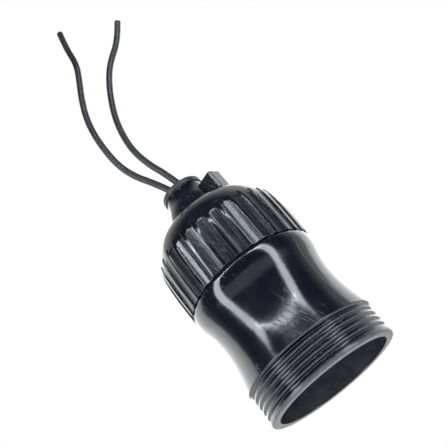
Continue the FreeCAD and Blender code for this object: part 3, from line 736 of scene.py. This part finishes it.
# %% Node helpers
class Finish:
    """One material under construction, with its shader, its coordinates and a few kinds of node."""

    def __init__(self, name, colour, metallic=0.0, roughness=0.4):
        self.material = bpy.data.materials.new(name)
        self.material.use_nodes = True
        self.nodes, self.links = self.material.node_tree.nodes, self.material.node_tree.links
        self.shader = self.nodes["Principled BSDF"]
        self.set(self.shader, {"Base Color": (*colour, 1), "Metallic": metallic, "Roughness": roughness})
        self.place = self.nodes.new("ShaderNodeTexCoord").outputs["Object"]
        self.bump_from = None

    def set(self, node, values):
        """Gives sockets a plain value or a link from another node's output."""
        for socket, value in values.items():
            if isinstance(value, bpy.types.NodeSocket):
                self.links.new(value, node.inputs[socket])
            else:
                node.inputs[socket].default_value = value

    def stretched(self, scale, turn=(0, 0, 0)):
        """Coordinates turned and stretched, for marks that run one way."""
        turned = self.nodes.new("ShaderNodeMapping")
        self.set(turned, {"Vector": self.place, "Rotation": turn})
        node = self.nodes.new("ShaderNodeMapping")
        self.set(node, {"Vector": turned.outputs["Vector"], "Scale": scale})
        return node.outputs["Vector"]

    def marked(self, mark):
        """Value stored on the points under this mark, from 0 to 1."""
        node = self.nodes.new("ShaderNodeAttribute")
        node.attribute_name = mark
        return node.outputs["Fac"]

    def noise(self, scale, detail=3.0, place=None):
        """Cloudy value from 0 to 1; scale is waves per metre."""
        node = self.nodes.new("ShaderNodeTexNoise")
        self.set(node, {"Vector": place or self.place, "Scale": scale, "Detail": detail})
        return node.outputs["Fac"]

    def between(self, value, low, high, to_low=0.0, to_high=1.0):
        """Stretches value from low..high to to_low..to_high, held at both ends."""
        node = self.nodes.new("ShaderNodeMapRange")
        node.interpolation_type = "SMOOTHSTEP"
        self.set(node, {"Value": value, "From Min": low, "From Max": high,
                        "To Min": to_low, "To Max": to_high})
        return node.outputs["Result"]

    def sum(self, kind, a, b):
        """ADD, MULTIPLY or MAXIMUM of two values."""
        node = self.nodes.new("ShaderNodeMath")
        node.operation = kind
        for socket, value in zip(node.inputs, (a, b)):
            if isinstance(value, bpy.types.NodeSocket):
                self.links.new(value, socket)
            else:
                socket.default_value = value
        return node.outputs[0]

    def blend(self, share, first, second):
        """Colour between first and second; either is a plain colour or another node's output."""
        node = self.nodes.new("ShaderNodeMix")
        node.data_type = "RGBA"
        node.clamp_factor = True
        self.links.new(share, node.inputs[0])
        for place, colour in ((6, first), (7, second)):
            self.set(node, {place: colour if isinstance(colour, bpy.types.NodeSocket) else (*colour, 1)})
        return node.outputs[2]

    def bump(self, height, strength, distance):
        """Adds one layer of bump over those already there; distance is in metres."""
        node = self.nodes.new("ShaderNodeBump")
        self.set(node, {"Height": height, "Strength": strength, "Distance": distance})
        if self.bump_from:
            self.links.new(self.bump_from, node.inputs["Normal"])
        self.bump_from = node.outputs["Normal"]
        self.links.new(self.bump_from, self.shader.inputs["Normal"])


print("finish helpers ready")

# %% [markdown]
# Thermosetting resin comes out of a polished mould very glossy and deep black with a blue cast. It is
# never quite even: it has a slight ripple, faint flow clouds, and fine scratches from handling, which
# run mostly one way. The scratches are a noise stretched along one direction and cut off sharply.


# %% Glossy black moulding
RESIN = (0.004, 0.0045, 0.009)
RESIN_DEEP = (0.003, 0.0035, 0.007)
# Paler resin for the flow clouds and scratches, and for the light painted on the bore's wall.
RESIN_CLOUDS_AND_BORE_LIGHT = (0.030, 0.032, 0.044)
# Pale grey of the highlight painted on the shell's lip and thread crests.
RESIN_LIP_CREST_HIGHLIGHT = (0.085, 0.087, 0.098)
RESIN_IOR = 1.55


def black_moulding_finish(name, drawn_flats=False, painted_bore_and_lip_light=False):
    """Deep black gloss with flow clouds, slanting hair scratches and a soft ripple. The cap's flats are
    duller, with fine upright streaks, as a milled mould leaves them. On the shell, light is painted on
    the bore's wall as a mottled paler colour, and a grey highlight is painted on its lip and thread crests."""
    finish = Finish(name, RESIN)
    clouds = finish.noise(70.0, 4.0)
    specks = finish.noise(900.0, 3.0)
    hairs = finish.noise(1700.0, 2.0, finish.stretched((1.0, 1.0, 0.09), (0.1, 0.35, 0.0)))
    # Patches of handling wear, where the hair scratches show.
    wear_and_highlight = finish.between(finish.noise(45.0, 2.0), 0.40, 0.62)
    hairs = finish.sum("MULTIPLY", finish.between(hairs, 0.56, 0.72), wear_and_highlight)
    pale = finish.sum("ADD", finish.between(clouds, 0.35, 0.7, 0.0, 0.12), hairs)
    # Painted light: the bore's wall is made paler in mottled patches, in place of light seen inside the
    # mouth.
    if painted_bore_and_lip_light:
        bore, lip_crest_highlight = finish.marked("in_bore"), finish.marked("wear_and_highlight")
        patchy = finish.between(finish.noise(300.0, 5.0), 0.25, 0.75, 0.12, 0.75)
        pale = finish.sum("ADD", pale, finish.sum("MULTIPLY", patchy, bore))
    colour = finish.blend(pale, RESIN_DEEP, RESIN_CLOUDS_AND_BORE_LIGHT)
    # Painted highlight: the lip and thread crests are blended towards pale grey, in place of the light lines
    # a lamp gives them.
    if painted_bore_and_lip_light:
        uneven = finish.between(finish.noise(500.0, 4.0), 0.3, 0.7, 0.55, 1.0)
        colour = finish.blend(finish.sum("MULTIPLY", uneven, lip_crest_highlight), colour, RESIN_LIP_CREST_HIGHLIGHT)
    finish.set(finish.shader, {"Base Color": colour, "IOR": RESIN_IOR})
    gloss = finish.between(clouds, 0.3, 0.75, 0.10, 0.17)
    gloss = finish.sum("ADD", gloss, finish.sum("MULTIPLY", hairs, 0.22))
    gloss = finish.sum("ADD", gloss, finish.between(specks, 0.62, 0.75, 0.0, 0.05))
    if painted_bore_and_lip_light:
        gloss = finish.sum("ADD", gloss, finish.sum("MULTIPLY", bore, 0.3))
        gloss = finish.sum("ADD", gloss, finish.sum("MULTIPLY", lip_crest_highlight, 0.25))
    if drawn_flats:
        share = finish.marked("on_flat")
        streaks = finish.noise(1100.0, 3.0, finish.stretched((1.0, 1.0, 0.02)))
        duller = finish.between(streaks, 0.35, 0.65, 0.02, 0.22)
        gloss = finish.sum("ADD", gloss, finish.sum("MULTIPLY", duller, share))
        finish.bump(finish.sum("MULTIPLY", streaks, share), 0.35, 0.00012)
    finish.set(finish.shader, {"Roughness": gloss})
    finish.bump(finish.noise(160.0, 2.0), 0.2, 0.0003)
    finish.bump(finish.sum("ADD", specks, hairs), 0.03, 0.00006)
    return finish.material


# The shell's variant has painted light on its bore's wall and a painted highlight on its lip and thread
# crests.
print("resin finish ready, as moulded, with drawn flats or with worn edges")

# %% Rubbers and lead sheath
def rubber_finish(name, dark, light, low, high):
    """Matte rubber: mottled, with a fine grain and a dusty bloom where it is pale."""
    finish = Finish(name, dark)
    bloom = finish.noise(240.0, 5.0)
    grain = finish.noise(2600.0, 3.0)
    finish.set(finish.shader, {"Base Color": finish.blend(finish.between(bloom, 0.35, 0.75), dark, light),
                               "Roughness": finish.between(bloom, 0.3, 0.7, low, high),
                               "Specular IOR Level": 0.45})
    finish.bump(finish.noise(420.0, 2.0), 0.25, 0.0002)
    finish.bump(grain, 0.15, 0.00006)
    return finish.material


def sheath_finish():
    """Satin plastic sheath: the core's lay shows as a faint twist and handling leaves duller patches."""
    finish = Finish("lead_sheath", (0.010, 0.010, 0.012))
    patches = finish.noise(130.0, 4.0)
    grain = finish.noise(3000.0, 2.0)
    dark, light = (0.008, 0.008, 0.010), (0.016, 0.016, 0.019)
    finish.set(finish.shader, {"Base Color": finish.blend(finish.between(patches, 0.35, 0.7), dark, light),
                               "Roughness": finish.between(patches, 0.3, 0.7, 0.32, 0.46)})
    finish.bump(finish.noise(500.0, 2.0, finish.stretched((1.0, 1.0, 0.35))), 0.2, 0.0002)
    finish.bump(grain, 0.1, 0.00004)
    return finish.material


print("rubber and sheath finishes ready")

# %% Insert moulding and metals
def insert_finish():
    """Unpolished resin of the inner moulding: brownish black, dull, with fine flow grain."""
    finish = Finish("insert_moulding", (0.016, 0.014, 0.013))
    flow = finish.noise(110.0, 5.0, finish.stretched((1.0, 1.0, 3.0)))
    grain = finish.noise(1500.0, 3.0)
    dark, light = (0.011, 0.010, 0.009), (0.022, 0.019, 0.017)
    finish.set(finish.shader, {"Base Color": finish.blend(finish.between(flow, 0.3, 0.7), dark, light),
                               "Roughness": finish.between(grain, 0.3, 0.7, 0.42, 0.6)})
    finish.bump(grain, 0.2, 0.00008)
    return finish.material


def metal_finish(name, bright, dull, low, high, brushing):
    """Sheet or turned metal: drawn one way by brushing, dulled in patches by handling and air."""
    finish = Finish(name, bright, metallic=1.0)
    drawn = finish.noise(700.0, 3.0, finish.stretched(brushing))
    tarnish = finish.noise(260.0, 4.0)
    shade = finish.sum("MULTIPLY", finish.between(tarnish, 0.4, 0.75), 0.8)
    shade = finish.sum("ADD", shade, finish.between(drawn, 0.5, 0.8, 0.0, 0.25))
    rough = finish.sum("ADD", finish.between(tarnish, 0.3, 0.7, low, high),
                       finish.between(drawn, 0.4, 0.7, 0.0, 0.08))
    finish.set(finish.shader, {"Base Color": finish.blend(shade, bright, dull), "Roughness": rough})
    finish.bump(drawn, 0.12, 0.00005)
    finish.bump(finish.noise(2200.0, 2.0), 0.06, 0.00003)
    return finish.material


print("insert and metal finishes ready")

# %% Put the finishes on
ROUND_BRUSHING = (0.25, 0.25, 2.0)
SHEET_BRUSHING = (1.0, 0.2, 1.0)
TURNED_BRUSHING = (0.4, 0.4, 1.0)
WIRE_BRUSHING = (1.0, 1.0, 0.3)
NO_BRUSHING = (1.0, 1.0, 1.0)
FINISHES = {
    "black_moulding": black_moulding_finish("black_moulding"),
    "black_moulding_cap": black_moulding_finish("black_moulding_cap", drawn_flats=True),
    # The shell's finish paints light on its bore's wall and a grey highlight on its lip and thread crests.
    "black_moulding_shell": black_moulding_finish("black_moulding_shell", painted_bore_and_lip_light=True),
    "black_rubber": rubber_finish("black_rubber", (0.022, 0.027, 0.035), (0.042, 0.050, 0.064),
                                  0.38, 0.55),
    "gasket_rubber": rubber_finish("gasket_rubber", (0.010, 0.010, 0.010), (0.020, 0.020, 0.020),
                                   0.6, 0.8),
    "lead_sheath": sheath_finish(),
    "insert_moulding": insert_finish(),
    "nickelled_brass": metal_finish("nickelled_brass", (0.66, 0.62, 0.55), (0.40, 0.36, 0.29),
                                    0.18, 0.32, ROUND_BRUSHING),
    "bare_brass": metal_finish("bare_brass", (0.72, 0.50, 0.20), (0.34, 0.22, 0.10),
                               0.24, 0.42, SHEET_BRUSHING),
    "zinc_steel": metal_finish("zinc_steel", (0.56, 0.57, 0.58), (0.36, 0.36, 0.36),
                               0.26, 0.44, TURNED_BRUSHING),
    "spring_steel": metal_finish("spring_steel", (0.42, 0.42, 0.43), (0.22, 0.20, 0.18),
                                 0.22, 0.38, WIRE_BRUSHING),
    "copper_core": metal_finish("copper_core", (0.80, 0.40, 0.24), (0.40, 0.18, 0.10),
                                0.22, 0.4, NO_BRUSHING),
}

OWN_FINISH = {core.name: "copper_core" for core in cores}
OWN_FINISH[cap.name] = "black_moulding_cap"
OWN_FINISH[shell.name] = "black_moulding_shell"
record_slots = {part["node"]: part["material_slot"] for part in frame["record"]["subparts"]}

for node_name, node in frame["nodes"].items():
    for place in node.material_slots:
        place.material = FINISHES[record_slots[node_name]]
for piece in [shell, cap, seal, gasket, screw_shell, button, spring, neutral_lead, live_lead] + cores:
    wanted = OWN_FINISH.get(piece.name, piece["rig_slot"])
    piece.data.materials.clear()
    piece.data.materials.append(FINISHES[wanted])
print("finishes on", len(frame["nodes"]), "packed nodes and the new pieces")

# %% [markdown]
# ## Studio
# The holder hangs over a pale floor. Two tall soft lamps stand in front, to the left and the right, and
# give the two long highlights on the shell. A thin bar above them joins the two in an arc over the
# thread. Two wide, weak lamps light the edges from behind, and one lights the mouth from below. The
# world is white behind, fades at the sides and is dark in front, which is what makes black gloss read
# as black. Each lamp is placed by compass angle and height angle from the holder.

# %% Lamps
CENTRE = Vector((0.0, 0.0, 0.035))
COOL_TINT = (0.86, 0.93, 1.0)
RIM_TINT = (0.97, 0.99, 1.0)


def soft_lamp(name, azimuth, elevation, wide, tall, radiance, lean=0.0, far=1.2, tint=COOL_TINT):
    """Rectangular lamp facing the holder, leant over sideways by an angle. Its power is its radiance
    times its area times pi."""
    a, e = math.radians(azimuth), math.radians(elevation)
    place = CENTRE + far * Vector((math.sin(a) * math.cos(e), -math.cos(a) * math.cos(e), math.sin(e)))
    data = bpy.data.lights.new(name, "AREA")
    data.shape = "RECTANGLE"
    data.size = 2 * far * math.tan(math.radians(wide / 2))
    data.size_y = 2 * far * math.tan(math.radians(tall / 2))
    data.energy = radiance * data.size * data.size_y * math.pi
    data.color = tint
    lamp = bpy.data.objects.new(name, data)
    scene.collection.objects.link(lamp)
    away = (place - CENTRE).normalized()
    side = Vector((math.cos(a), math.sin(a), 0.0))
    facing = Matrix((side, away.cross(side), away)).transposed().to_4x4()
    leant = Matrix.Rotation(math.radians(lean), 4, away) @ facing
    lamp.matrix_world = Matrix.Translation(place) @ leant
    lamp.visible_camera = False
    lamp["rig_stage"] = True
    print(name, "radiates", radiance, "with", round(data.energy, 2), "W")


soft_lamp("left_softbox", -51, 10.5, 13, 49, 10.0, lean=-15)
soft_lamp("right_softbox", 49, 10.5, 12, 49, 10.0, lean=15)
soft_lamp("top_bar", 0, 34.5, 76, 1.2, 40.0)
soft_lamp("left_rim", -140, 22, 80, 46, 1.6, tint=RIM_TINT)
soft_lamp("right_rim", 150, 22, 60, 46, 1.4, tint=RIM_TINT)
soft_lamp("low_fill", 0, -80, 60, 34, 1.3, far=0.3)

# %% White behind, dark room in front
WHITE = (1, 1, 1, 1)
DARK_ROOM = (0.07, 0.075, 0.10, 1)
FADE_FROM, FADE_TO = -0.15, 0.45
world = bpy.data.worlds.new("studio")
scene.world = world
world.use_nodes = True
nodes, links = world.node_tree.nodes, world.node_tree.links
background = nodes["Background"]
background.inputs["Strength"].default_value = 1.0
direction = nodes.new("ShaderNodeSeparateXYZ")
links.new(nodes.new("ShaderNodeTexCoord").outputs["Generated"], direction.inputs[0])
behind = nodes.new("ShaderNodeMapRange")
behind.interpolation_type = "SMOOTHSTEP"
links.new(direction.outputs["Y"], behind.inputs["Value"])
behind.inputs["From Min"].default_value = FADE_FROM
behind.inputs["From Max"].default_value = FADE_TO
room = nodes.new("ShaderNodeMix")
room.data_type = "RGBA"
links.new(behind.outputs["Result"], room.inputs[0])
room.inputs[6].default_value = DARK_ROOM
room.inputs[7].default_value = WHITE
seen = nodes.new("ShaderNodeMix")
seen.data_type = "RGBA"
links.new(nodes.new("ShaderNodeLightPath").outputs["Is Camera Ray"], seen.inputs[0])
links.new(room.outputs[2], seen.inputs[6])
seen.inputs[7].default_value = WHITE
links.new(seen.outputs[2], background.inputs["Color"])
print("world is white to the camera, and white behind the holder for reflections")

# %% Floor
FLOOR_Z = -0.35
FLOOR_HALF = 9.0
FLOOR_GLOW = 0.35
corners = [(x * FLOOR_HALF, y * FLOOR_HALF, FLOOR_Z) for x, y in ((-1, -1), (1, -1), (1, 1), (-1, 1))]
floor_mesh = bpy.data.meshes.new("floor")
floor_mesh.from_pydata(corners, [], [(0, 1, 2, 3)])
floor = bpy.data.objects.new("floor", floor_mesh)
scene.collection.objects.link(floor)
floor_finish = Finish("pale_floor", (0.80, 0.80, 0.80), roughness=0.7)
drift = floor_finish.between(floor_finish.noise(3.0, 3.0), 0.3, 0.7)
floor_colour = floor_finish.blend(drift, (0.78, 0.78, 0.785), (0.82, 0.82, 0.82))
floor_finish.set(floor_finish.shader, {"Base Color": floor_colour})
floor_finish.bump(floor_finish.noise(60.0, 3.0), 0.05, 0.001)
seen_by = floor_finish.nodes.new("ShaderNodeLightPath")
shown = floor_finish.sum("MAXIMUM", seen_by.outputs["Is Camera Ray"], seen_by.outputs["Is Glossy Ray"])
shown = floor_finish.sum("MAXIMUM", shown, seen_by.outputs["Is Transmission Ray"])
floor_glow = floor_finish.sum("MULTIPLY", shown, FLOOR_GLOW)
floor_finish.set(floor_finish.shader, {"Emission Color": WHITE, "Emission Strength": floor_glow})
floor.data.materials.append(floor_finish.material)
floor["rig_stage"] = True
print("floor at", FLOOR_Z)

# %% Colour handling and sizes
scene.view_settings.view_transform = "Standard"
visual_low, visual_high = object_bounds()
for name, one, two in (("low", cad_low, visual_low), ("high", cad_high, visual_high)):
    print(name, [round((b - a) / MM, 2) for a, b in zip(one, two)], "mm between the solids and the scene")
